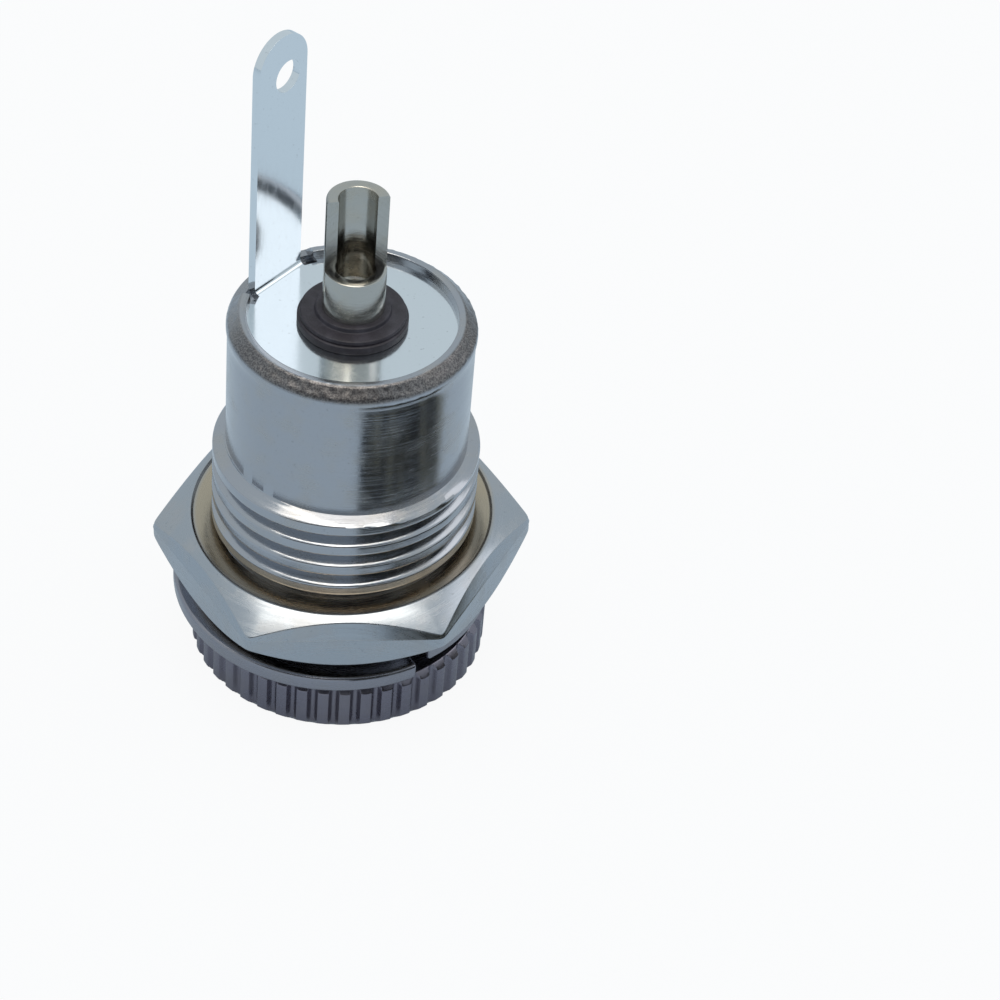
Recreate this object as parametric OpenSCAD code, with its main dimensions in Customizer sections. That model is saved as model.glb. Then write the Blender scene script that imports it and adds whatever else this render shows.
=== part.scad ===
// Panel-mount DC barrel jack for a 5.5 mm plug on a 2.1 mm pin, with its nut and spring washer.
// +Z runs along the socket's axis, from the front face (z = 0) to the solder terminals.

/* [Front flange] */
// Diameter over the tips of the knurl
flange_d = 13.7; // [13.2:0.1:14.5]
// Thickness of the flange
flange_h = 2.5; // [2.2:0.05:3]
// Number of straight teeth round the flange
knurl_teeth = 44; // [30:1:60]
// Depth of the grooves between the teeth
knurl_depth = 0.38; // [0.2:0.02:0.5]
// Chamfer on both ends of the teeth
flange_chamfer = 0.3; // [0.15:0.05:0.4]

/* [Socket] */
// Diameter of the plug's way in through the front wall
socket_d = 6.5; // [6.1:0.1:6.8]
// Diameter of the countersink at the front face
mouth_d = 7.4; // [7:0.1:8]
// Depth of the countersink at the front face
mouth_h = 0.75; // [0.4:0.05:1]
// Thickness of the metal wall behind the front face
front_wall = 2; // [1.6:0.1:2.2]
// Bore of the plastic liner behind the front wall
liner_d = 7; // [6.9:0.1:7.4]
// Diameter of the contact pin
pin_d = 2.1; // [1.9:0.1:2.6]
// Depth of the pin's tip behind the front face
pin_recess = 2.3; // [2.2:0.1:3]

/* [Barrel] */
// Outer diameter of the thread
thread_d = 11.95; // [11.7:0.05:12.2]
// Height at which the thread stops
thread_end = 12.3; // [11:0.1:14]
// Diameter of the plain barrel behind the thread
barrel_d = 10.8; // [10.6:0.05:11]
// Bore of the barrel
bore_d = 8.6; // [8.4:0.05:8.8]
// Height of the rear plate's upper face
plate_top = 18.35; // [17.5:0.05:19.5]
// Height of the crimped lip above the plate
lip_h = 0.4; // [0.3:0.05:0.7]
// Inner diameter of the crimped lip
lip_d = 9.1; // [9:0.05:9.4]

/* [Nut and washer] */
// Distance across the nut's flats
nut_af = 15; // [14.6:0.1:15.6]
// Thickness of the nut
nut_h = 3.3; // [2.8:0.05:3.6]
// Diameter of the countersink on the nut's rear face
nut_sink_d = 13.9; // [13.4:0.1:14.2]
// Outer diameter of the spring washer
washer_d = 14.7; // [14.2:0.1:15.2]
// Inner diameter of the spring washer
washer_bore = 12.3; // [12.1:0.05:12.6]
// Thickness of the spring washer
washer_t = 0.8; // [0.6:0.05:1]
// Rise from one end of the spring washer to the other
washer_rise = 0.75; // [0.3:0.05:1]

/* [Terminals] */
// Thickness of the stamped rear plate and its lug
plate_t = 0.38; // [0.3:0.02:0.5]
// Width of the solder lug
lug_w = 3; // [2.6:0.1:3.4]
// Height of the lug's round end
lug_top = 30.9; // [28:0.1:34]
// Diameter of the lug's wire hole
lug_hole_d = 1.5; // [1.2:0.1:1.8]
// Diameter of the solder cup
cup_d = 2.72; // [2.6:0.02:2.9]
// Bore of the solder cup
cup_bore = 1.7; // [1.6:0.02:2]
// Height of the solder cup's end
cup_top = 24.85; // [23:0.05:27]

/* [Hidden] */
$fn = 96;

// Small radii and chamfers that are the same everywhere
edge = 0.12;
cut = 1;                       // how far a cutting tool runs past the face that it cuts

// Nut. The spring washer's open ends hold it a little out of square.
nut_z = flange_h + washer_t + washer_rise + 0.15;
nut_turn = 7;
nut_lean = [1.3, -2.1];
nut_sink_r = nut_sink_d / 2;
nut_sink_h = 0.6;
nut_cone_drop = 0.9;           // fall of the rear chamfer, from the countersink to the corners
nut_foot_r = 7;                // bearing ring on the washer's side
nut_foot_slope = 0.9;
nut_bevel_z = 2.3;             // the flats lean in above this height
nut_bevel_lean = 15;
nut_lead_in = 0.3;

// Shell, outside. Nut and shell meet at the thread's pitch radius.
flange_r = flange_d / 2;
thread_r = thread_d / 2;
thread_chamfer = 0.5;
thread_start = 4.2;
pitch_r = thread_r - 0.36;
crest_start = nut_z + nut_h + 0.4;
neck_r = 5.3;                  // relief behind the flange, where the nut's thread runs out
barrel_r = barrel_d / 2;
rim_top = plate_top + lip_h;
rim_swell = 0.08;              // the crimping tool swells the wall a little
rim_swell_h = 0.5;
rim_slope_h = 0.5;             // height of the peened slope
rim_shoulder_r = 4.97;         // where the slope meets the lip's flat top

// Shell, inside
lip_r = lip_d / 2;
bore_r = bore_d / 2;
socket_r = socket_d / 2;
seat_r = 4.95;                 // recess that takes the plate
seat_z = plate_top - plate_t;
slot_w = 4.3;                  // gap in the lip for the lug
slot_reach = 5.02;

// Spring washer. It lies off centre, as far as its bore lets it.
washer_shift = [-0.4, 0.33];
washer_split = -78;            // azimuth of the gap between its ends
washer_gap = 5;
washer_edge = 0.2;
washer_steps = 72;

// Lug
lug_azimuth = 145.5;
lug_inner = 4.3;               // from the axis to the lug's inner face
lug_bend_r = 0.3;
lug_hole_z = 28.8;
lug_hole_side = 0.3;           // the hole is punched off the lug's centre line
notch_w = 0.85;                // relief cuts beside the bend
notch_r = 4.3;

// Centre pin and its solder cup
pin_r = pin_d / 2;
pin_shoulder = 13.5;
cup_r = cup_d / 2;
cup_ledge = 21.25;             // above this height half of the cup is milled away
cup_floor = 21;
cup_azimuth = -70;             // side to which the cup opens
cup_cut = 0.05;                // from the axis to the cut face

// Liner
liner_r = liner_d / 2;
liner_floor = 13;
groove_w = 3;                  // groove for the contact spring
groove_azimuth = -35;
groove_play = 0.05;

// Bush
boss_r = 1.95;                 // its neck, through the plate and into the liner
boss_z = 16.9;
bush_r = 2.42;
bush_top_r = 2.3;
bush_h = 0.7;
bush_foot_h = 0.1;
bush_ring_r = 1.68;
bush_ring_h = 0.18;

// Contact spring
spring_w = 2.6;
spring_t = 0.25;
spring_back = 3.95;            // outer face of the straight leg
spring_foot_z = 3;
spring_bow_top = 10.4;
spring_bow = 1.05;             // how far it bows towards the plug
spring_foot_bow = 0.45;        // share of the bow at its foot
spring_bow_at = 0.35;          // share of its height where the bow is deepest
spring_tail = 2.1;             // inner end of the clamped tail
spring_steps = 16;

// Solid of revolution from a list of [radius, height]
module turned(points) rotate_extrude() polygon(points);

module at_azimuth(a) rotate([0, 0, a]) children();

// Straight knurl: one tooth's crest and groove as [share of the pitch, depth]
module knurled(r, h, teeth, depth) {
    pitch = 360 / teeth;
    tooth = [[-0.28, 0], [0.28, 0], [0.42, depth], [0.58, depth]];
    linear_extrude(h)
        polygon([for (i = [0:teeth - 1], c = tooth)
            (r - c[1]) * [cos((i + c[0]) * pitch), sin((i + c[0]) * pitch)]]);
}

module flange() {
    c = flange_chamfer;
    intersection() {
        knurled(flange_r, flange_h, knurl_teeth, knurl_depth);
        turned([[0, 0], [flange_r - c, 0], [flange_r, c], [flange_r, flange_h - c],
                [flange_r - c, flange_h], [0, flange_h]]);
    }
}

module threaded_barrel() {
    crimp_z = rim_top - rim_slope_h;
    turned([[0, edge], [neck_r, edge], [neck_r, thread_start - (pitch_r - neck_r)],
            [pitch_r, thread_start], [pitch_r, crest_start - (thread_r - pitch_r)],
            [thread_r, crest_start], [thread_r, thread_end - thread_chamfer],
            [barrel_r, thread_end], [barrel_r, crimp_z - rim_swell_h],
            [barrel_r + rim_swell, crimp_z - edge], [barrel_r, crimp_z + edge],
            [rim_shoulder_r, rim_top], [0, rim_top]]);
}

// Everything that the lathe takes out: mouth, plug's way, bore, seat for the plate, and lip
module turned_out() {
    flare = (mouth_d / 2 - socket_r) / mouth_h;
    turned([[0, -cut], [mouth_d / 2 + flare * cut, -cut], [socket_r, mouth_h],
            [socket_r, front_wall], [bore_r, front_wall], [bore_r, seat_z],
            [seat_r, seat_z], [seat_r, plate_top], [lip_r, plate_top],
            [lip_r, rim_top - edge], [lip_r + edge, rim_top], [lip_r + edge, rim_top + cut],
            [0, rim_top + cut]]);
}

module lug_gap() {
    intersection() {
        at_azimuth(lug_azimuth) translate([0, -slot_w / 2, plate_top])
            cube([slot_reach + cut, slot_w, lip_h + cut]);
        cylinder(r = slot_reach, h = rim_top + cut);
    }
}

module shell() color([0.72, 0.74, 0.77]) {
    difference() {
        union() {
            flange();
            threaded_barrel();
        }
        turned_out();
        lug_gap();
    }
}

// Hexagonal prism with a chamfer at both ends: the rear one runs up to the countersink
module nut_body() {
    corner_r = nut_af / sqrt(3);
    out_r = corner_r + cut;
    rear_slope = nut_cone_drop / (corner_r - nut_sink_r);
    intersection() {
        cylinder(r = corner_r, h = nut_h, $fn = 6);
        turned([[0, 0], [nut_foot_r, 0], [out_r, (out_r - nut_foot_r) * nut_foot_slope],
                [out_r, nut_h - (out_r - nut_sink_r) * rear_slope],
                [nut_sink_r, nut_h], [0, nut_h]]);
    }
}

module nut_bore() {
    r = pitch_r + 0.12;
    turned([[0, -cut], [r + nut_lead_in, -cut], [r + nut_lead_in, 0], [r, nut_lead_in],
            [r, nut_h - nut_sink_h], [nut_sink_r - edge / 2, nut_h],
            [nut_sink_r - edge / 2, nut_h + cut], [0, nut_h + cut]]);
}

module hex_nut() color([0.76, 0.78, 0.8]) {
    translate([0, 0, nut_z + nut_h / 2]) rotate([nut_lean[0], nut_lean[1], 0])
    rotate([0, 0, nut_turn]) translate([0, 0, -nut_h / 2]) difference() {
        nut_body();
        nut_bore();
        for (side = [0:5]) rotate([0, 0, 30 + 60 * side])
            translate([nut_af / 2, -nut_af / 2, nut_bevel_z]) rotate([0, -nut_bevel_lean, 0])
                cube([cut, nut_af, nut_h]);
    }
}

// Rounded rectangle as points of [radius, height], for the washer's section
function washer_section(r1, r2, h, e, n = 3) =
    [for (q = [[r2 - e, h - e, 0], [r1 + e, h - e, 90], [r1 + e, e, 180], [r2 - e, e, 270]],
          k = [0:n]) [q[0] + e * cos(q[2] + 90 * k / n), q[1] + e * sin(q[2] + 90 * k / n)]];

// Point p of that section at share u of the run: clockwise from the low end, climbing
function along_washer(u, p) =
    let (a = washer_split - washer_gap / 2 - (360 - washer_gap) * u)
    [washer_shift[0] + p[0] * cos(a), washer_shift[1] + p[0] * sin(a),
     flange_h + p[1] + washer_rise * u];

module spring_washer() color([0.7, 0.71, 0.73]) {
    ring = washer_section(washer_bore / 2, washer_d / 2, washer_t, washer_edge);
    m = len(ring);
    n = washer_steps;
    points = [for (i = [0:n], p = ring) along_washer(i / n, p)];
    sides = [for (i = [0:n - 1], k = [0:m - 1]) let (k2 = (k + 1) % m)
        [i * m + k, i * m + k2, (i + 1) * m + k2, (i + 1) * m + k]];
    low_end = [for (k = [m - 1:-1:0]) k];
    high_end = [for (k = [0:m - 1]) n * m + k];
    polyhedron(points, concat(sides, [low_end, high_end]));
}

// Round-ended strip, standing on the plate, with its outer face at x = lug_inner + plate_t
module lug() {
    end_z = lug_top - lug_w / 2;
    translate([lug_inner + plate_t, 0, 0]) rotate([90, 0, -90]) linear_extrude(plate_t) {
        translate([-lug_w / 2, seat_z]) square([lug_w, end_z - seat_z]);
        translate([0, end_z]) intersection() {
            circle(d = lug_w);
            translate([-lug_w, -edge]) square([2 * lug_w, lug_w]);
        }
    }
    // inside of the bend
    translate([lug_inner - lug_bend_r, lug_w / 2, plate_top]) rotate([90, 0, 0])
        linear_extrude(lug_w) difference() {
            square([lug_bend_r + edge, lug_bend_r]);
            translate([0, lug_bend_r]) circle(r = lug_bend_r);
        }
}

module ground_plate() color([0.8, 0.83, 0.86]) {
    difference() {
        union() {
            translate([0, 0, seat_z]) cylinder(r = seat_r, h = plate_t);
            at_azimuth(lug_azimuth) lug();
        }
        translate([0, 0, seat_z - cut]) cylinder(r = boss_r, h = plate_t + 2 * cut);
        at_azimuth(lug_azimuth) {
            for (side = [-1, 1])
                translate([notch_r, side * (lug_w + notch_w) / 2 - notch_w / 2, seat_z - cut])
                    cube([seat_r, notch_w, plate_t + 2 * cut]);
            translate([0, -lug_hole_side, lug_hole_z]) rotate([0, 90, 0])
                cylinder(d = lug_hole_d, h = seat_r + cut);
        }
    }
}

// How far the contact spring leans towards the plug at height z
function bow(z) =
    let (u = (z - spring_foot_z) / (spring_bow_top - spring_foot_z), at = spring_bow_at)
    spring_bow * (u < at ? spring_foot_bow + (1 - spring_foot_bow) * sin(90 * u / at)
                         : (1 + cos(180 * (u - at) / (1 - at))) / 2);

module contact_spring() color([0.78, 0.62, 0.36]) {
    n = spring_steps;
    zs = [for (i = [0:n]) spring_foot_z + (spring_bow_top - spring_foot_z) * i / n];
    inside = spring_back - spring_t;
    at_azimuth(groove_azimuth) rotate([90, 0, 0])
        translate([0, 0, -spring_w / 2]) linear_extrude(spring_w)
            polygon(concat([for (z = zs) [spring_back - bow(z), z]],
                           [[spring_back, seat_z], [spring_tail, seat_z],
                            [spring_tail, seat_z - spring_t], [inside, seat_z - spring_t]],
                           [for (i = [n:-1:0]) [inside - bow(zs[i]), zs[i]]]));
}

module centre_pin() color([0.8, 0.78, 0.74]) {
    difference() {
        union() {
            translate([0, 0, pin_recess + pin_r]) sphere(r = pin_r);
            translate([0, 0, pin_recess + pin_r]) cylinder(r = pin_r, h = pin_shoulder - pin_recess);
            turned([[0, pin_shoulder], [cup_r, pin_shoulder], [cup_r, cup_top - edge],
                    [cup_r - edge, cup_top], [0, cup_top]]);
        }
        translate([0, 0, cup_floor]) cylinder(d = cup_bore, h = cup_top);
        // half of the cup is milled away, to lay the wire in
        at_azimuth(cup_azimuth) translate([cup_cut, -cup_d, cup_ledge])
            cube([cup_d, 2 * cup_d, cup_top]);
    }
}

module liner() color([0.08, 0.08, 0.09]) {
    difference() {
        turned([[liner_r, front_wall], [bore_r, front_wall], [bore_r, seat_z], [cup_r, seat_z],
                [cup_r, pin_shoulder], [pin_r, pin_shoulder], [pin_r, liner_floor],
                [liner_r, liner_floor]]);
        translate([0, 0, boss_z]) cylinder(r = boss_r, h = seat_z);
        // groove for the spring's leg, a deeper one where it passes the floor, one for its tail
        at_azimuth(groove_azimuth) {
            translate([0, -groove_w / 2, spring_foot_z - 6 * groove_play])
                cube([bore_r + cut, groove_w, liner_floor - spring_foot_z + 6 * groove_play]);
            translate([spring_back - spring_t - groove_play, -groove_w / 2, liner_floor - cut])
                cube([bore_r, groove_w, seat_z]);
            translate([spring_tail - groove_play, -groove_w / 2, seat_z - spring_t])
                cube([bore_r, groove_w, cut]);
        }
    }
}

module rear_bush() color([0.13, 0.12, 0.14]) {
    top = plate_top + bush_h;
    bevel = 0.08;
    turned([[cup_r, boss_z], [boss_r, boss_z], [boss_r, plate_top], [bush_r, plate_top],
            [bush_r, plate_top + bush_foot_h], [bush_top_r, top - bevel],
            [bush_top_r - bevel, top], [bush_ring_r, top],
            [bush_ring_r - bevel, top + bush_ring_h], [cup_r, top + bush_ring_h]]);
}

shell();
hex_nut();
spring_washer();
ground_plate();
contact_spring();
centre_pin();
liner();
rear_bush();
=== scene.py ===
import bmesh
import bpy
import numpy as np
from mathutils import Matrix


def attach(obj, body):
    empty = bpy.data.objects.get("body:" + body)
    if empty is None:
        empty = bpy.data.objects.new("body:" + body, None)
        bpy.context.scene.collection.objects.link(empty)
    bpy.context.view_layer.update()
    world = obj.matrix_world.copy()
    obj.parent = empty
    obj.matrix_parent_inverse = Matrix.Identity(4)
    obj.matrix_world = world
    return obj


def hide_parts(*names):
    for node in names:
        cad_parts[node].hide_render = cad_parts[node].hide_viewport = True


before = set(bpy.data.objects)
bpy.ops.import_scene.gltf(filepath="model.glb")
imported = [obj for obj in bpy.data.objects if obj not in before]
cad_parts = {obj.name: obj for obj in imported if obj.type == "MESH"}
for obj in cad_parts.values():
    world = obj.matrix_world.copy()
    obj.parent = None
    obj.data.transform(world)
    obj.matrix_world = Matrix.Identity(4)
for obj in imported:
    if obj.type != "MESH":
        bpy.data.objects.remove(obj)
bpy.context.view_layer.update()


# ---- Front flange ------------------------------------------------------------------------------
# The end that shows outside the panel: bar stock turned, straight-knurled round the edge,
# chamfered at both ends of the teeth, countersunk for the plug, and nickel-plated all over.

MM = 0.001  # the frame is in metres, and every size below in millimetres


def rounded(corners, radii, steps):
    """Profile through corners [corner, ..., 2], each one eased over its radius.

    A corner P becomes the curve (1-t)^2 A + 2t(1-t) P + t^2 B, where A and B lie one radius
    back along its two sides, or at two fifths of a side that is too short for that."""
    before = np.roll(corners, 1, axis=0) - corners
    after = np.roll(corners, -1, axis=0) - corners
    reach = np.reshape(radii, (-1,) + (1,) * (corners.ndim - 1))

    def set_back(side):
        length = np.maximum(np.linalg.norm(side, axis=-1, keepdims=True), 1e-9)
        return corners + side / length * np.minimum(reach, 0.4 * length)

    t = np.linspace(0, 1, steps).reshape((-1,) + (1,) * corners.ndim)
    eased = ((1 - t) ** 2 * set_back(before) + 2 * t * (1 - t) * corners
             + t ** 2 * set_back(after))
    return np.moveaxis(eased, 0, 1).reshape((-1,) + corners.shape[1:])


def filled(profile, spacing):
    """The same closed profile with points added, so that none lie further apart than spacing,
    which is one number or one for every point. A spacing of infinity adds none there."""
    ends = np.roll(profile, -1, axis=0)
    counts = np.maximum(np.ceil(np.linalg.norm(ends - profile, axis=1) / spacing), 1).astype(int)
    start = np.repeat(np.arange(len(profile)), counts)
    first = np.repeat(np.cumsum(counts) - counts, counts)
    share = (np.arange(counts.sum()) - first) / counts[start]
    return profile[start] * (1 - share[:, None]) + ends[start] * share[:, None]


def turned(radius, height, angle):
    """Points (r cos a, r sin a, z) of a lathe surface, with r and z given for every angle."""
    radius, height = np.broadcast_arrays(radius, height)
    return np.stack([radius * np.cos(angle), radius * np.sin(angle),
                     height + 0 * angle], axis=-1)


def skin(name, points, faces, crease):
    """A smooth mesh piece from points in millimetres, doubles merged, faces pointing outwards.

    Edges that turn by more than crease degrees stay sharp."""
    mesh = bpy.data.meshes.new(name)
    mesh.from_pydata((points * MM).tolist(), [], faces.tolist())
    work = bmesh.new()
    work.from_mesh(mesh)
    bmesh.ops.remove_doubles(work, verts=work.verts, dist=2e-7)
    bmesh.ops.dissolve_degenerate(work, edges=work.edges, dist=1e-7)
    bmesh.ops.recalc_face_normals(work, faces=work.faces)
    work.to_mesh(mesh)
    work.free()
    mesh.shade_smooth()
    mesh.set_sharp_from_angle(angle=np.radians(crease))
    piece = bpy.data.objects.new(name, mesh)
    bpy.context.scene.collection.objects.link(piece)
    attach(piece, "root")
    return piece


def quads(grid, first, climb=0):
    """Corner numbers of the faces of a grid [row, column] whose points start at first.

    The last column joins the first, climb rows further on. With climb None they stay apart."""
    rows, columns = grid.shape[:2]
    index = first + np.arange(rows * columns).reshape(rows, columns)
    if climb is not None:
        beyond = np.minimum(np.arange(rows) + climb, rows - 1)
        index = np.append(index, index[beyond, :1], axis=1)
    return np.stack([index[:-1, :-1], index[:-1, 1:], index[1:, 1:], index[1:, :-1]],
                    axis=-1).reshape(-1, 4)


def woven(name, grid, crease, loop=True):
    """skin() over a grid of points [row, column]. The last column joins the first, and with
    loop the last row does too."""
    if loop:
        grid = np.append(grid, grid[:1], axis=0)
    return skin(name, grid.reshape(-1, 3), quads(grid, 0), crease)


def joined(name, grids, crease):
    """skin() over several (grid, climb) that meet along their edges."""
    firsts = np.cumsum([0] + [grid[..., 0].size for grid, _ in grids])
    points = np.concatenate([grid.reshape(-1, 3) for grid, _ in grids])
    faces = np.concatenate([quads(grid, first, climb)
                            for (grid, climb), first in zip(grids, firsts)])
    return skin(name, points, faces, crease)


class Wire:
    """A socket of a material's node tree. Arithmetic between wires and numbers adds Math nodes."""

    def __init__(self, finish, socket):
        self.finish, self.socket = finish, socket

    def _math(self, operation, first, second):
        return self.finish.node("ShaderNodeMath", {"operation": operation}, {0: first, 1: second})

    def __add__(self, other): return self._math("ADD", self, other)
    def __radd__(self, other): return self._math("ADD", other, self)
    def __sub__(self, other): return self._math("SUBTRACT", self, other)
    def __rsub__(self, other): return self._math("SUBTRACT", other, self)
    def __mul__(self, other): return self._math("MULTIPLY", self, other)
    def __rmul__(self, other): return self._math("MULTIPLY", other, self)
    def __truediv__(self, other): return self._math("DIVIDE", self, other)
    def __rtruediv__(self, other): return self._math("DIVIDE", other, self)
    def __pow__(self, other): return self._math("POWER", self, other)

    def beside(self, out):
        """Another output of the same node."""
        return Wire(self.finish, self.socket.node.outputs[out])


class Finish:
    """A material being built round one Principled shader, whose plain sockets are named here."""

    def __init__(self, name, **plain):
        self.material = bpy.data.materials.new(name)
        self.material.use_nodes = True
        self.tree = self.material.node_tree
        self.shader = self.tree.nodes["Principled BSDF"]
        for socket, value in plain.items():
            self.shader.inputs[socket.replace("_", " ")].default_value = value

    def node(self, kind, settings=(), values=(), out=0):
        """Adds a node: its settings first, then the values or wires of its sockets."""
        new = self.tree.nodes.new(kind)
        for key, value in dict(settings).items():
            setattr(new, key, value)
        for key, value in dict(values).items():
            self.feed(new.inputs[key], value)
        return Wire(self, new.outputs[out])

    def feed(self, socket, value):
        """Links a wire to the socket, or gives the socket a plain value."""
        if isinstance(value, Wire):
            self.tree.links.new(value.socket, socket)
        else:
            socket.default_value = value

    def set(self, **sockets):
        """Feeds the shader's sockets, named with _ for a space."""
        for socket, value in sockets.items():
            self.feed(self.shader.inputs[socket.replace("_", " ")], value)

    def fed(self, socket):
        """The wire that feeds the shader's socket now."""
        return Wire(self, self.shader.inputs[socket.replace("_", " ")].links[0].from_socket)

    def place(self):
        """The wires x, y and z of a point in the object's own coordinates, in millimetres."""
        where = self.node("ShaderNodeTexCoord", out="Object")
        split = self.node("ShaderNodeSeparateXYZ", values={0: where})
        return [split.beside(axis) / MM for axis in range(3)]

    def vector(self, x, y, z):
        return self.node("ShaderNodeCombineXYZ", values={0: x, 1: y, 2: z})

    def noise(self, vector, scale, detail, roughness):
        return self.node("ShaderNodeTexNoise",
                         values={"Vector": vector, "Scale": scale, "Detail": detail,
                                 "Roughness": roughness}, out="Fac")

    def ramp(self, value, low, high):
        """0 at low and 1 at high, level past both and eased between. low may be the greater."""
        return self.node("ShaderNodeMapRange", {"interpolation_type": "SMOOTHSTEP"},
                         {0: value, 1: low, 2: high, 3: 0.0, 4: 1.0})

    def mix(self, share, first, second):
        """The first colour where share is 0, the second where it is 1."""
        return self.node("ShaderNodeMix", {"data_type": "RGBA"}, {0: share, 6: first, 7: second},
                         out=2)

    def bump(self, height, depth, strength=1.0, under=None):
        """A Bump node that raises the surface by height times depth millimetres."""
        values = {"Height": height, "Distance": depth * MM, "Strength": strength}
        if under is not None:
            values["Normal"] = under
        return self.node("ShaderNodeBump", values=values)

    def onto(self, piece):
        """Makes this the piece's only material."""
        piece.data.materials.clear()
        piece.data.materials.append(self.material)


def turned_nickel(name, colour, warm, marks, roughness):
    """Nickel plate over turned brass: fine rings left by the tool, faint stains and scratches.

    marks is how deep the rings are, in thousandths of a millimetre."""
    finish = Finish(name, Metallic=1.0)
    x, y, z = finish.place()
    out = (x * x + y * y + 0.01) ** 0.5

    def tool_marks(around, scale, detail, roughness):
        """Noise that changes ten times faster along the axis and outwards than round it."""
        along = 10 * around
        spot = finish.vector(x / out * around, y / out * around, z * along + out * along)
        return finish.noise(spot, scale, detail, roughness)

    rings = tool_marks(0.9, 1.6, 4.0, 0.62)
    fine = tool_marks(2.6, 1.3, 2.0, 0.5)
    stain = finish.noise(finish.vector(x, y, z), 0.55, 3.0, 0.6)
    speck = finish.noise(finish.vector(x, y, z), 7.0, 2.0, 0.6)
    worn = finish.ramp(stain, 0.42, 0.72)
    tone = finish.mix(worn * 0.55, colour, warm)
    spotted = (*(0.55 * part for part in colour[:3]), 1)
    finish.set(Base_Color=finish.mix(finish.ramp(speck, 0.63, 0.74) * 0.35, tone, spotted),
               Roughness=roughness + 0.12 * finish.ramp(rings, 0.35, 0.75) + 0.1 * worn,
               Normal=finish.bump(rings * 0.7 + fine * 0.3, marks * 0.001,
                                  under=finish.bump(speck, 0.002, 0.5)))
    return finish


def wide(start, stop, count):
    """Angles from start to stop in degrees, returned in radians, without the last one."""
    return np.radians(np.linspace(start, stop, count, endpoint=False))


FLANGE_R, FLANGE_H, FLANGE_CHAMFER = 6.85, 2.5, 0.3
TEETH, TOOTH_DEPTH, TOOTH_CROWN, TOOTH_STEPS = 44, 0.26, 0.03, 16
CREST_SHARE, GROOVE_SHARE = 0.42, 0.56
MOUTH_R, MOUTH_H, SOCKET_R, FRONT_WALL, BORE_R = 3.7, 0.75, 3.25, 2.0, 4.3
NICKEL, WARM_NICKEL = (0.42, 0.43, 0.46, 1), (0.45, 0.43, 0.41, 1)


def knurled_flange():
    """The flange as a ring of profiles. The radius is the lesser of the turned profile's and
    of the knurl's, which swings between crest and groove once for each tooth."""
    tooth_end = FLANGE_R - FLANGE_CHAMFER
    corners = np.array([[MOUTH_R, 0], [tooth_end, 0], [FLANGE_R, FLANGE_CHAMFER],
                        [FLANGE_R, FLANGE_H - FLANGE_CHAMFER], [tooth_end, FLANGE_H],
                        [BORE_R - 0.02, FLANGE_H], [BORE_R - 0.02, FRONT_WALL],
                        [SOCKET_R, FRONT_WALL], [SOCKET_R, MOUTH_H]])
    radii = [0.08, 0.04, 0.04, 0.04, 0.05, 0.02, 0.02, 0.06, 0.06]
    profile = filled(rounded(corners, radii, 4), 0.22)
    angle = wide(0, 360, TEETH * TOOTH_STEPS)
    swing = 0.5 - 0.5 * np.cos(TEETH * angle)
    groove = np.clip((swing - CREST_SHARE) / GROOVE_SHARE, 0, 1)
    knurl = FLANGE_R - TOOTH_DEPTH * groove ** 2 * (3 - 2 * groove) - TOOTH_CROWN * swing
    radius = np.minimum(profile[:, :1], knurl[None, :])
    return turned(radius, profile[:, 1:], angle)


front_flange = woven("front_flange", knurled_flange(), crease=30)
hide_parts("shell")


def bright_face(finish):
    """The flat front face is plain nickel. The rest of the flange keeps a darker colour, which is
    painted shade for the shadowed table it reflects near its foot.
    """
    z = finish.place()[2]
    finish.set(Base_Color=finish.mix(finish.ramp(z, 0.16, 0.04), finish.fed("Base_Color"), NICKEL))
    return finish


# The flange's dark colour is painted shade: its knurl is made darker than the barrel's nickel, for
# the shadowed table it reflects.
bright_face(turned_nickel("flange_nickel_painted_shade", (0.225, 0.21, 0.25, 1), (0.25, 0.23, 0.25, 1),
                          1.2, 0.25)).onto(front_flange)


# ---- Threaded barrel and crimped rim -----------------------------------------------------------
# The same turned bar goes on as the barrel: a relief, the M12 fine thread, and a plain wall.
# Its thin rear edge is peened over the rear plate, which holds the inside and leaves it rough.

THREAD_R, THREAD_DEPTH, PITCH = 5.975, 0.55, 1.175
CREST_Z = 8.16  # height of a crest at azimuth 0
NECK_R, THREAD_FROM, THREAD_TO, THREAD_CHAMFER = 5.3, 3.8, 11.86, 0.2
BARREL_R, BARREL_SWELL = 5.4, 0.07
PLATE_TOP, PLATE_T = 18.35, 0.38
RIM_TOP, RIM_SHOULDER_R, CRIMP_H, SEAT_R, LIP_R = 18.75, 4.84, 0.52, 4.95, 4.55
CRIMP_Z = RIM_TOP - CRIMP_H
DENT_UP, DENT_OUT, DENT_SEED = 0.010, 0.014, 7
LUG_AZIMUTH = 145.5
GAP_W, GAP_REACH = 4.3, 4.8  # the lip's gap is this wide, that far from the axis
TURN = wide(0, 360, 320)


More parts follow.
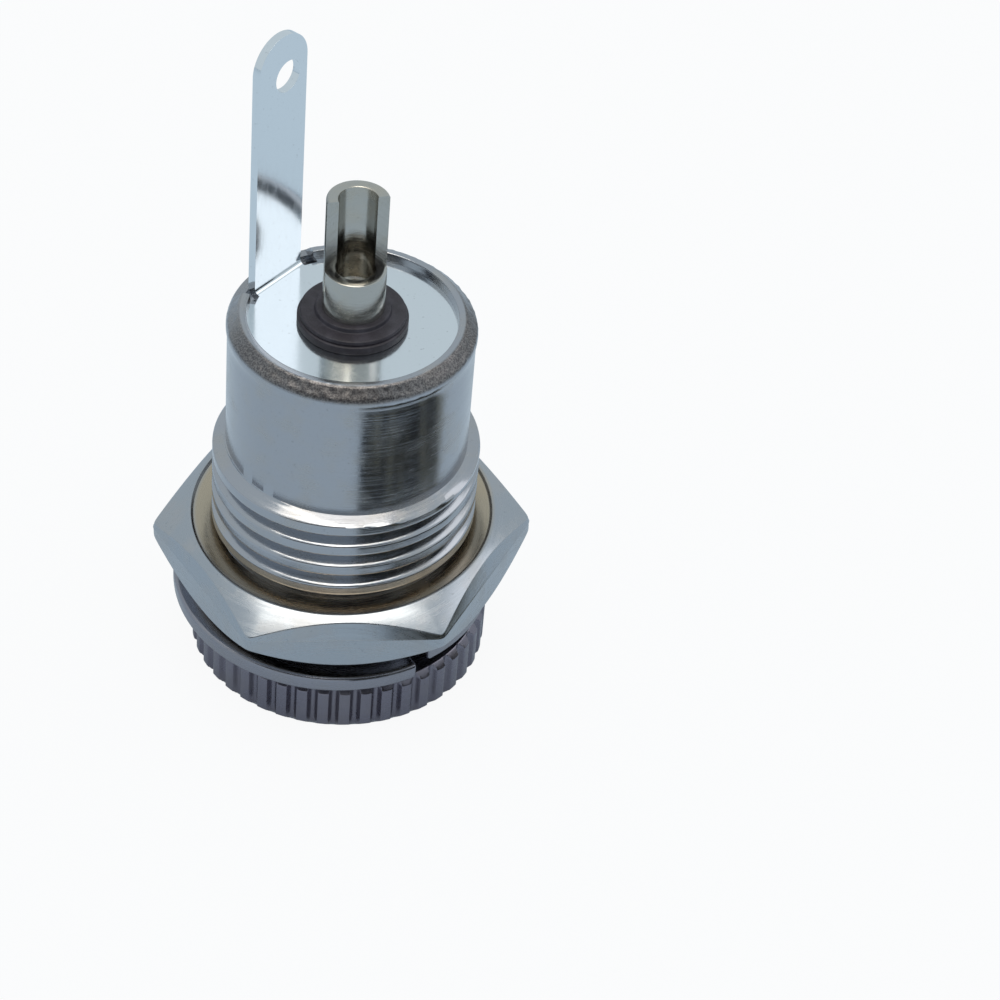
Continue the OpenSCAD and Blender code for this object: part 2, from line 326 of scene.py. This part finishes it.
def thread():
    """The helical thread, rows by columns, and how many rows it climbs in a turn.

    Each row is a helix: its height is its own start plus a pitch a turn, held between the
    thread's two ends. Its depth is nothing on the crest and full in the root, with eased
    flanks, and the chamfer at each end is the greatest radius that the height allows."""
    # share of the pitch from the crest, closer together on the flanks
    share = np.array([0, .1, .16, .2, .23, .27, .33, .39, .43, .46, .5, .54, .57, .61, .67, .73,
                      .77, .8, .84, .9])
    flank = np.clip((0.5 - np.abs(share - 0.5) - 0.18) / 0.29, 0, 1)
    depth = THREAD_DEPTH * flank ** 2 * (3 - 2 * flank)
    turns = np.arange(np.floor((THREAD_FROM - CREST_Z) / PITCH) - 1,
                      np.ceil((THREAD_TO - CREST_Z) / PITCH) + 1)
    start = (turns[:, None] + share).ravel()[:, None]
    height = np.clip(CREST_Z + PITCH * (start + TURN / (2 * np.pi)), THREAD_FROM, THREAD_TO)
    allowed = np.minimum(NECK_R + (height - THREAD_FROM) * 1.2,
                         BARREL_R + (THREAD_TO - height) * (THREAD_R - BARREL_R) / THREAD_CHAMFER)
    radius = np.minimum(THREAD_R - np.tile(depth, len(turns))[:, None], allowed)
    return turned(radius, height, TURN), len(share)


def dents(angle, height, seed, count=90):
    """Uneven hammering between about -1 and 1: a sum of waves of chance direction and phase."""
    chance = np.random.default_rng(seed)
    around = chance.integers(-90, 90, count)[:, None, None]
    along = chance.uniform(-22, 22, count)[:, None, None]
    phase = chance.uniform(0, 2 * np.pi, count)[:, None, None]
    return np.sin(around * angle + along * height + phase).sum(axis=0) / np.sqrt(count) / 1.5


def barrel_wall():
    """The rest of the barrel's profile carried round its axis: the wall from the thread's flat
    shoulder, the dented crimp, and the lip, which is cut away where the lug comes up."""
    corners = np.array([[BARREL_R, THREAD_TO], [BARREL_R, CRIMP_Z - 0.6],
                        [BARREL_R + BARREL_SWELL, CRIMP_Z - 0.2],
                        [BARREL_R + 0.01, CRIMP_Z + 0.05],
                        [RIM_SHOULDER_R + 0.12, RIM_TOP - 0.04], [RIM_SHOULDER_R, RIM_TOP],
                        [LIP_R + 0.05, RIM_TOP], [LIP_R, PLATE_TOP], [SEAT_R, PLATE_TOP],
                        [SEAT_R, PLATE_TOP - PLATE_T], [BORE_R, PLATE_TOP - PLATE_T],
                        [BORE_R, FLANGE_H - 0.3], [NECK_R, FLANGE_H - 0.3],
                        [NECK_R, THREAD_FROM]])
    radii = [0, .3, .15, .12, .06, .06, .06, .03, .02, .02, .02, .02, .02, 0]
    profile = rounded(corners, radii, 5)
    fine = (profile[:, 1] > CRIMP_Z - 0.5) & (profile[:, 0] > LIP_R - 0.03)
    spacing = np.where(fine, 0.05, 0.9)
    spacing[-1] = np.inf
    profile = filled(profile, spacing)
    radius, height = profile[:, :1] + 0 * TURN, profile[:, 1:] + 0 * TURN
    on_slope = (height > CRIMP_Z - 0.25) & (radius > RIM_SHOULDER_R + 0.02)
    crimped = on_slope * np.clip((height - CRIMP_Z + 0.2) / 0.15, 0, 1)
    crimped = crimped * np.clip((radius - RIM_SHOULDER_R) / 0.12, 0, 1)
    beside = np.abs((TURN - np.radians(LUG_AZIMUTH) + np.pi) % (2 * np.pi) - np.pi)
    half_gap = np.arcsin(GAP_W / 2 / GAP_REACH)
    hammered = dents(TURN, height, DENT_SEED) * np.clip((beside - half_gap) / 0.1, 0, 1)
    height = height + DENT_UP * crimped * hammered
    radius = radius + DENT_OUT * crimped * hammered
    lip = (height > PLATE_TOP - 0.01) & (radius < SEAT_R + 0.06)
    gap = beside < half_gap
    radius = np.where(lip & gap, SEAT_R + 0.06, radius)
    height = np.where(gap, np.minimum(height, PLATE_TOP - 0.03), height)
    return turned(radius, height, TURN)


barrel = joined("barrel", [thread(), (barrel_wall(), 0)], crease=40)
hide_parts("shell")


def peened_and_shaded_edge(finish):
    """Darkens and pits the crimped slope, where the tool has broken the plating. The darkening is
    also painted shade: it is heaviest in front and fades to the side that the lug is on."""
    x, y, z = finish.place()
    slope = (finish.ramp(z, CRIMP_Z - 0.14, CRIMP_Z + 0.04)
             * finish.ramp((x * x + y * y) ** 0.5, RIM_SHOULDER_R - 0.01, RIM_SHOULDER_R + 0.09))
    # Painted shade: the darkening is made heaviest in front, and the dark colour below stands for
    # both broken plating and shade.
    slope = slope * (0.3 + 0.7 * finish.ramp(y - 0.35 * x, 2.2, -1.6))
    pits = finish.noise(finish.vector(x, y, z), 13.0, 3.0, 0.65)
    broken_and_shaded = finish.mix(finish.ramp(pits, 0.38, 0.62), (0.055, 0.046, 0.044, 1),
                        (0.22, 0.20, 0.19, 1))
    finish.set(Base_Color=finish.mix(slope * 0.85, finish.fed("Base_Color"), broken_and_shaded),
               Roughness=finish.fed("Roughness") + 0.18 * slope,
               Normal=finish.bump(pits * slope, 0.008, 1.0, under=finish.fed("Normal")))
    return finish


peened_and_shaded_edge(turned_nickel("barrel_nickel", NICKEL, WARM_NICKEL, 5.0, 0.13)).onto(barrel)


# ---- Hex nut -----------------------------------------------------------------------------------
# Cut from hexagon brass bar, chamfered at both ends, countersunk on the rear face and plated.
# It is run down on the spring washer, whose open ends hold it a little out of square.

NUT_AF, NUT_H, NUT_Z, NUT_TURN, NUT_LEAN = 15.0, 3.3, 4.2, 7.0, (1.3, -2.1)
NUT_SINK_R, NUT_SINK_H, NUT_BORE_R, NUT_FOOT_R = 6.95, 0.2, 5.72, 6.7
NUT_REAR_SLOPE, NUT_FRONT_SLOPE, NUT_BEVEL_Z, NUT_BEVEL_LEAN = 0.526, 0.9, 2.3, 15.0
NUT_BURR = 0.02


def nut_skin():
    """The nut's closed profile for every angle. The flats stand at half the width across flats
    divided by the cosine of the angle off each flat, joined by a soft minimum at the corners;
    the two chamfers are cones that meet the flats at a height found for every angle."""
    angle = wide(0, 360, 576)
    half = NUT_AF / 2
    off_flat = angle[None, :] - np.radians(np.arange(30, 390, 60))[:, None]
    off_flat = (off_flat + np.pi) % (2 * np.pi) - np.pi
    reach = half / np.maximum(np.cos(off_flat), 0.2)
    flat = (reach ** -80.0).sum(axis=0) ** (-1 / 80.0)
    lean = np.tan(np.radians(NUT_BEVEL_LEAN)) / half
    cone_r = flat * (1 - (NUT_H + NUT_SINK_R * NUT_REAR_SLOPE - NUT_BEVEL_Z) * lean)
    cone_r = cone_r / (1 - flat * NUT_REAR_SLOPE * lean)
    cone_z = np.maximum(NUT_H - (cone_r - NUT_SINK_R) * NUT_REAR_SLOPE, NUT_BEVEL_Z + 0.03)
    foot_z = (flat - NUT_FOOT_R) * NUT_FRONT_SLOPE
    same = 0 * angle
    rows = [(NUT_BORE_R + 0.3, 0), (NUT_FOOT_R, 0), (flat, foot_z), (flat, NUT_BEVEL_Z - 0.11),
            (flat + NUT_BURR, NUT_BEVEL_Z - 0.05), (flat - 0.01, NUT_BEVEL_Z),
            (cone_r, cone_z), (NUT_SINK_R, NUT_H), (NUT_SINK_R - 0.1, NUT_H),
            (NUT_SINK_R - 0.2, NUT_H - 0.12), (NUT_BORE_R, NUT_H - NUT_SINK_H),
            (NUT_BORE_R, 0.3)]
    corners = np.stack([np.stack([r + same, z + same], axis=-1) for r, z in rows])
    eased = rounded(corners, [.03, .1, .1, .02, .03, .03, .05, .03, .03, .03, .03, .03], 4)
    return turned(eased[..., 0], eased[..., 1], angle)


def leaning(points):
    """The nut turned about its axis and then tipped about its middle, at its place."""
    def spin(axis, degrees):
        return np.array(Matrix.Rotation(np.radians(degrees), 3, axis))
    turn = spin("Y", NUT_LEAN[1]) @ spin("X", NUT_LEAN[0]) @ spin("Z", NUT_TURN)
    return (points - [0, 0, NUT_H / 2]) @ turn.T + [0, 0, NUT_Z + NUT_H / 2]


hex_nut = woven("hex_nut_plated", leaning(nut_skin()), crease=24)
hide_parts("hex_nut")


def warm_tinted_sink(finish):
    """The countersink's colour is mixed towards a warm brown."""
    x, y, z = finish.place()
    in_sink = finish.ramp((x * x + y * y) ** 0.5, 7.0, 6.6)
    finish.set(Base_Color=finish.mix(in_sink * 0.7, finish.fed("Base_Color"), (0.50, 0.39, 0.24, 1)))
    return finish


warm_tinted_sink(turned_nickel("nut_nickel", (0.41, 0.435, 0.47, 1), (0.46, 0.45, 0.45, 1),
                          1.5, 0.19)).onto(hex_nut)


# ---- Spring washer -----------------------------------------------------------------------------
# One turn of flat spring steel wire, cut through and set so that its ends stand apart, then plated.
# It hangs off centre on the relief behind the flange, under the nut.

WASHER_IN, WASHER_OUT, WASHER_T, WASHER_RISE = 6.15, 7.35, 0.8, 0.75
WASHER_SHIFT, WASHER_SPLIT, WASHER_GAP = (-0.4, 0.33), -50.0, 5.0


def washer_wire():
    """A rounded rectangle carried clockwise round the axis while it climbs. At both ends it
    shrinks a little, for the rounded cut, and then to a point that closes the end."""
    corners = np.array([[WASHER_IN, 0], [WASHER_OUT, 0],
                        [WASHER_OUT, WASHER_T], [WASHER_IN, WASHER_T]])
    section = rounded(corners, [0.16, 0.16, 0.2, 0.2], 6)
    middle = section.mean(axis=0)
    run = np.concatenate([[0, 0, 0.0012], np.linspace(0.003, 0.997, 240), [0.9988, 1, 1]])
    size = np.concatenate([[0, 0.86, 0.97], np.ones(240), [0.97, 0.86, 0]])
    points = middle + (section[None] - middle) * size[:, None, None]
    angle = np.radians(WASHER_SPLIT - WASHER_GAP / 2 - (360 - WASHER_GAP) * run)[:, None]
    return np.stack([WASHER_SHIFT[0] + points[..., 0] * np.cos(angle),
                     WASHER_SHIFT[1] + points[..., 0] * np.sin(angle),
                     FLANGE_H + points[..., 1] + WASHER_RISE * run[:, None]], axis=-1)


washer = woven("spring_washer_plated", washer_wire(), crease=40, loop=False)
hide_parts("spring_washer")
turned_nickel("washer_nickel", (0.30, 0.295, 0.33, 1), (0.32, 0.31, 0.32, 1), 1.5, 0.2).onto(washer)


# ---- Rear plate and solder lug -----------------------------------------------------------------
# One stamping in bright tinned sheet: a disc under the crimped lip, cut in beside the bend so
# that its tab folds up cleanly, and a long lug with a round end and a punched wire hole.

LUG_W, LUG_TOP, LUG_INNER, BEND_R = 3.0, 30.9, 4.3, 0.25
HOLE_R, HOLE_Z, HOLE_SIDE = 0.75, 28.8, 0.3
NOTCH_W, NOTCH_R, PLATE_HOLE_R = 0.85, 4.3, 2.0
HEAD_BELOW = 1.3  # from the hole's middle down to where the lug's head begins
ACROSS, CUT_STEPS, FREE_STEPS = 16, 6, 130


def stamping():
    """The middle surface of the sheet as one net of quads, in the frame of the lug.

    The disc is a polar grid out to its outline, which dips at the two cuts and runs straight
    across at the fold. The tab's columns go on from there, round the bend and up, to the row
    under the hole. The head is a ring of columns from the hole to the round end."""
    mid = BEND_R + PLATE_T / 2
    fold = LUG_INNER + PLATE_T / 2 - mid
    level = PLATE_TOP - PLATE_T / 2
    across = np.linspace(-LUG_W / 2, LUG_W / 2, ACROSS + 1)
    lug_side = np.arctan2(LUG_W / 2, fold)
    cut_side = np.arctan2(LUG_W / 2 + NOTCH_W, NOTCH_R)
    cut = np.linspace(lug_side + 0.004, cut_side, CUT_STEPS)
    free = np.linspace(cut_side + 0.004, 2 * np.pi - cut_side - 0.004, FREE_STEPS)
    angle = np.concatenate([np.arctan2(across, fold), cut, free, -cut[::-1]])
    outline = np.concatenate([np.hypot(across, fold), np.full(CUT_STEPS, NOTCH_R),
                              np.full(FREE_STEPS, SEAT_R - 0.03), np.full(CUT_STEPS, NOTCH_R)])
    share = np.linspace(0, 1, 40)[:, None]
    radius = PLATE_HOLE_R + (outline - PLATE_HOLE_R) * share
    dish = 0.02 * np.cos(np.pi * radius / SEAT_R / 2)
    disc = np.stack([radius * np.cos(angle), radius * np.sin(angle), level + dish], axis=-1)

    low_z = HOLE_Z - HEAD_BELOW
    bend = np.linspace(0, np.pi / 2, 12)[1:]
    rise = np.linspace(level + mid, low_z, 60)[1:]
    path_x = np.concatenate([fold + mid * np.sin(bend), np.full(len(rise), fold + mid)])
    path_z = np.concatenate([level + mid - mid * np.cos(bend), rise])
    strip = np.stack([path_x[:, None] + 0 * across, across + 0 * path_x[:, None],
                      path_z[:, None] + 0 * across], axis=-1)

    end_z = LUG_TOP - LUG_W / 2
    side_z = np.linspace(low_z, end_z, 14)
    round_end = np.linspace(0, np.pi, 49)
    edge_y = np.concatenate([across, np.full(12, LUG_W / 2), LUG_W / 2 * np.cos(round_end),
                             np.full(12, -LUG_W / 2)])
    edge_z = np.concatenate([np.full(ACROSS + 1, low_z), side_z[1:-1],
                             end_z + LUG_W / 2 * np.sin(round_end), side_z[-2:0:-1]])
    turn = np.arctan2(edge_z - HOLE_Z, edge_y + HOLE_SIDE)
    share = np.linspace(0, 1, 9)[:, None]
    head_y = (-HOLE_SIDE + HOLE_R * np.cos(turn)) * (1 - share) + edge_y * share
    head_z = (HOLE_Z + HOLE_R * np.sin(turn)) * (1 - share) + edge_z * share
    head = np.stack([fold + mid + 0 * head_y, head_y, head_z], axis=-1)
    side, ahead = np.sin(np.radians(LUG_AZIMUTH)), np.cos(np.radians(LUG_AZIMUTH))
    turn = np.array([[ahead, side, 0], [-side, ahead, 0], [0, 0, 1]])
    return disc @ turn, strip @ turn, head @ turn


disc, strip, head = stamping()
strip = np.concatenate([disc[-1:, :ACROSS + 1], strip])
plate = joined("rear_plate_and_lug", [(disc, 0), (strip, None), (head, 0)], crease=30)
thick = plate.modifiers.new("sheet_thickness", "SOLIDIFY")
thick.thickness, thick.offset, thick.use_even_offset = PLATE_T * MM, 0.0, True
eased = plate.modifiers.new("punched_edge", "BEVEL")
eased.width, eased.segments, eased.limit_method = 0.05 * MM, 3, "ANGLE"
eased.angle_limit, eased.harden_normals = np.radians(50), True
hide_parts("ground_plate")


def bright_tin(name):
    """Bright rolled sheet: a slow waviness, a fine grain along the lug, and a few dull specks."""
    finish = Finish(name, Metallic=1.0)
    x, y, z = finish.place()
    wave = finish.noise(finish.vector(x, y, z), 0.35, 2.0, 0.4)
    rolled = finish.noise(finish.vector(x * 4, y * 4, z * 0.7), 1.5, 3.0, 0.6)
    speck = finish.noise(finish.vector(x, y, z), 5.0, 2.0, 0.6)
    finish.set(Base_Color=finish.mix(finish.ramp(speck, 0.66, 0.76) * 0.4,
                                     (0.76, 0.80, 0.83, 1), (0.40, 0.41, 0.43, 1)),
               Roughness=0.12 + 0.07 * finish.ramp(rolled, 0.4, 0.8),
               Normal=finish.bump(wave, 0.02, 0.6, under=finish.bump(rolled, 0.0006, 0.5)))
    return finish


bright_tin("bright_tinned_sheet").onto(plate)


# ---- Centre pin and solder cup -----------------------------------------------------------------
# Turned from one brass rod and plated: a round-tipped contact pin in front, and a thicker rear
# end that is drilled. Half of that end is milled away, which leaves a cup to lay the wire in.

PIN_R, PIN_TIP, PIN_SHOULDER = 1.05, 2.3, 13.5
CUP_R, CUP_BORE, CUP_TOP, CUP_LEDGE, CUP_FLOOR, CUP_AZIMUTH = 1.36, 0.85, 24.85, 21.25, 20.0, -70.0


def pin_and_cup():
    """One skin from the tip's pole to the pole of the cup's floor. The cup's end is at its full
    height on the closed side and at the ledge on the open one; both heights are given at the
    two angles between them, so that the cut face stands upright."""
    closed = CUP_AZIMUTH + 180
    angle = np.radians(np.concatenate([np.linspace(closed - 92, closed + 92, 97),
                                       np.linspace(closed + 92, closed + 268, 97)]))
    top = np.concatenate([np.full(97, CUP_TOP), np.full(97, CUP_LEDGE)])
    tip = np.linspace(-np.pi / 2, 0, 14)
    shaft = np.stack([PIN_R * np.cos(tip), PIN_TIP + PIN_R + PIN_R * np.sin(tip)], axis=-1)
    collar = np.array([[PIN_R, PIN_SHOULDER], [CUP_R, PIN_SHOULDER]])
    lower = np.concatenate([shaft, collar])[:, None, :] + 0 * angle[:, None]
    edge = 0.07
    rims = [(CUP_R, CUP_LEDGE - edge), (CUP_R, top - edge), (CUP_R - 0.3 * edge, top - 0.3 * edge),
            (CUP_R - edge, top), (CUP_BORE + edge, top), (CUP_BORE + 0.3 * edge, top - 0.3 * edge),
            (CUP_BORE, top - edge), (CUP_BORE, CUP_LEDGE - edge), (CUP_BORE, CUP_FLOOR + 0.1),
            (CUP_BORE - 0.1, CUP_FLOOR), (0.0, CUP_FLOOR)]
    upper = np.stack([np.stack([r + 0 * angle, z + 0 * angle], axis=-1) for r, z in rims])
    profile = np.concatenate([lower, upper])
    return turned(profile[..., 0], profile[..., 1], angle)


pin = woven("pin_and_cup", pin_and_cup(), crease=35, loop=False)
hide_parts("centre_pin")
turned_nickel("pin_nickel", (0.47, 0.46, 0.43, 1), (0.52, 0.47, 0.38, 1), 2.5, 0.13).onto(pin)


# ---- Rear bush ---------------------------------------------------------------------------------
# A black moulded disc with a stepped edge and a raised ring. It is pressed round the cup into
# the hole of the plate, and keeps the two terminals apart.

BUSH_R, BUSH_TOP_R, BUSH_H, BUSH_NECK_R = 2.42, 2.3, 0.64, 1.9
BUSH_RING_R, BUSH_RING_H = 1.68, 0.18


def moulded_bush():
    """The bush's closed profile carried round the axis, with a faint sink in its top face."""
    top = PLATE_TOP + BUSH_H
    inner, low = CUP_R - 0.03, PLATE_TOP - 0.6
    corners = np.array([[inner, low], [BUSH_NECK_R, low], [BUSH_NECK_R, PLATE_TOP + 0.01],
                        [BUSH_R - 0.03, PLATE_TOP + 0.01], [BUSH_R, PLATE_TOP + 0.06],
                        [BUSH_R, top - 0.26], [BUSH_TOP_R - 0.04, top - 0.22],
                        [BUSH_TOP_R + 0.03, top - 0.17], [BUSH_TOP_R, top],
                        [BUSH_RING_R, top - 0.02], [BUSH_RING_R - 0.05, top + BUSH_RING_H],
                        [inner, top + BUSH_RING_H]])
    radii = [.02, .02, .02, .03, .04, .05, .03, .04, .07, .05, .06, .02]
    profile = filled(rounded(corners, radii, 5), 0.2)
    angle = wide(0, 360, 144)
    return turned(profile[:, :1], profile[:, 1:], angle)


bush = woven("bush", moulded_bush(), crease=40)
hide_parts("rear_bush")


def moulded_plastic(name, colour, dusty, roughness):
    """Black moulding: a fine eggshell grain, and pale dust and rubbing in patches."""
    finish = Finish(name, Specular_IOR_Level=0.45)
    x, y, z = finish.place()
    grain = finish.noise(finish.vector(x, y, z), 14.0, 3.0, 0.6)
    patch = finish.noise(finish.vector(x, y, z), 1.3, 3.0, 0.6)
    finish.set(Base_Color=finish.mix(finish.ramp(patch, 0.4, 0.75), colour, dusty),
               Roughness=roughness + 0.2 * finish.ramp(grain, 0.35, 0.7),
               Normal=finish.bump(grain, 0.004, 0.8))
    return finish


moulded_plastic("bush_plastic", (0.020, 0.016, 0.023, 1), (0.040, 0.035, 0.046, 1),
                0.42).onto(bush)


# ---- Liner -------------------------------------------------------------------------------------
# A black moulded sleeve inside the barrel, between the front wall and the rear plate. It holds
# the pin on the axis and the contact in a groove at its side.

moulded_plastic("liner_plastic", (0.020, 0.020, 0.022, 1), (0.032, 0.031, 0.033, 1),
                0.5).onto(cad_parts["liner"])


# ---- Contact spring ----------------------------------------------------------------------------
# A bowed strip of spring bronze, left bare. Its foot lies in the liner's groove, its tail is
# clamped under the rear plate, and its bow bears on the plug.


def spring_bronze(name):
    """Bare bronze with a grain along the strip, which also dulls it a little."""
    finish = Finish(name, Metallic=1.0)
    x, y, z = finish.place()
    grain = finish.noise(finish.vector(x * 6, y * 6, z * 0.8), 2.0, 3.0, 0.6)
    finish.set(Base_Color=finish.mix(finish.ramp(grain, 0.35, 0.7), (0.60, 0.40, 0.20, 1),
                                     (0.44, 0.28, 0.14, 1)),
               Roughness=0.24 + 0.14 * grain, Normal=finish.bump(grain, 0.001))
    return finish


spring_bronze("spring_bronze").onto(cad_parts["contact_spring"])


# ---- Floor, light and camera -------------------------------------------------------------------
# A pale table top in a white studio, soft light from above, and the camera looking down at
# the rear end from in front.

WHITE, TABLE, SKY = (1, 1, 1, 1), (0.48, 0.57, 0.66, 1), (0.78, 0.92, 1.0, 1)


def bare(name, corners, faces):
    """A stage piece straight from corners in metres and faces."""
    mesh = bpy.data.meshes.new(name)
    mesh.from_pydata(corners, [], faces)
    piece = bpy.data.objects.new(name, mesh)
    bpy.context.scene.collection.objects.link(piece)
    return piece


def white_to_the_eye(finish, glossy_share):
    """How white a stage surface shows itself: almost wholly to the eye, and partly in metal."""
    eye = finish.node("ShaderNodeLightPath", out="Is Camera Ray")
    mirrored = eye.beside("Is Glossy Ray") + eye.beside("Is Transmission Ray")
    return eye * 0.93 + mirrored * glossy_share


table = bare("table", [(x, y, 0) for x, y in ((-.6, -.6), (.6, -.6), (.6, .6), (-.6, .6))],
             [(0, 1, 2, 3)])
paint = Finish("table_paint", Base_Color=TABLE, Roughness=0.8, Specular_IOR_Level=0.2)
glow = paint.node("ShaderNodeEmission", values={"Color": WHITE, "Strength": 1.0})
both = paint.node("ShaderNodeMixShader", values={0: white_to_the_eye(paint, 0.15),
                                                 1: Wire(paint, paint.shader.outputs[0]), 2: glow})
paint.feed(paint.tree.nodes["Material Output"].inputs["Surface"], both)
paint.onto(table)


def dark_card(radius, height, first, last, count):
    """A low upright strip bent round the object: a dark thing beside it, seen in the metal.
    It runs from azimuth first to last, in count steps, with its foot just off the table."""
    angle = np.radians(np.linspace(first, last, count))
    foot = np.stack([radius * np.cos(angle), radius * np.sin(angle), 0 * angle + 0.02], axis=-1)
    corners = np.concatenate([foot, foot + [0, 0, height]]) * MM
    faces = [(i, i + 1, count + i + 1, count + i) for i in range(count - 1)]
    card = bare("dark_card", corners.tolist(), faces)
    card.visible_camera = card.visible_diffuse = card.visible_shadow = False
    felt = Finish("card_felt", Roughness=0.9)
    x, y, z = felt.place()
    mottled = felt.noise(felt.vector(x, y, z * 0.6), 0.5, 3.0, 0.6)
    felt.set(Base_Color=felt.mix(felt.ramp(mottled, 0.5, 0.68), (0.030, 0.026, 0.024, 1),
                                 (0.55, 0.48, 0.34, 1)))
    felt.onto(card)


dark_card(radius=17.0, height=8.5, first=-75, last=-1, count=40)

shade = bare("dark_corner", [(-0.22, -0.24, 0.10), (0.22, -0.24, 0.10), (0.22, -0.17, 0.26),
                             (-0.22, -0.17, 0.26)], [(0, 1, 2, 3)])
shade.visible_camera = shade.visible_diffuse = shade.visible_shadow = False
Finish("corner_cloth", Base_Color=(0.05, 0.045, 0.055, 1), Roughness=0.9).onto(shade)

world = bpy.data.worlds.new("studio")
bpy.context.scene.world = world
world.use_nodes = True


class Backdrop(Finish):
    """The world's own nodes, built in the same way as a finish."""

    def __init__(self, world):
        self.tree = world.node_tree
        self.shader = self.tree.nodes["Background"]


studio = Backdrop(world)
seen = studio.node("ShaderNodeLightPath", out="Is Camera Ray")
studio.set(Color=studio.mix(white_to_the_eye(studio, 0.2) * 1.2, SKY, WHITE),
           Strength=0.72 + 0.28 * seen)


def soft_light(name, place, towards, size, power, colour):
    """A square area lamp at place, in metres, that faces the point towards."""
    lamp = bpy.data.lights.new(name, "AREA")
    lamp.shape, lamp.size, lamp.energy, lamp.color = "SQUARE", size, power, colour
    holder = bpy.data.objects.new(name, lamp)
    bpy.context.scene.collection.objects.link(holder)
    back = np.array(place) - np.array(towards)
    back = back / np.linalg.norm(back)
    side = np.cross([0, 0, 1.0], back)
    side = side / np.linalg.norm(side)
    turn = np.stack([side, np.cross(back, side), back], axis=1)
    holder.matrix_world = Matrix.Translation(place) @ Matrix(turn.tolist()).to_4x4()


soft_light("softbox_above", (-0.02, -0.02, 0.31), (0, 0, 0.015), 0.22, 0.42, (1.0, 0.93, 0.82))
soft_light("softbox_right", (0.208, 0.080, 0.217), (0, 0, 0.018), 0.15, 0.055, (1.0, 0.96, 0.95))

AIM, CAMERA_AWAY, CAMERA_UP, CAMERA_ROLL, LENS = (7.077, 0, 8.807), 138.03, 41.885, 5.527, 109.796


def photo_camera():
    """The camera looks at AIM from CAMERA_AWAY mm, raised and rolled by those angles."""
    up, roll = np.radians([CAMERA_UP, CAMERA_ROLL])
    back = np.array([0, -np.cos(up), np.sin(up)])
    level, above = np.array([1.0, 0, 0]), np.array([0, np.sin(up), np.cos(up)])
    side = np.cos(roll) * level + np.sin(roll) * above
    head = np.cos(roll) * above - np.sin(roll) * level
    lens = bpy.data.cameras.new("camera")
    lens.sensor_width, lens.lens = 36.0, LENS
    lens.clip_start, lens.clip_end = 0.005, 5.0
    camera = bpy.data.objects.new("camera", lens)
    bpy.context.scene.collection.objects.link(camera)
    place = (np.array(AIM) + CAMERA_AWAY * back) * MM
    turn = np.stack([side, head, back], axis=1)
    camera.matrix_world = Matrix.Translation(place.tolist()) @ Matrix(turn.tolist()).to_4x4()
    bpy.context.scene.camera = camera


photo_camera()
bpy.context.scene.view_settings.view_transform = "Standard"
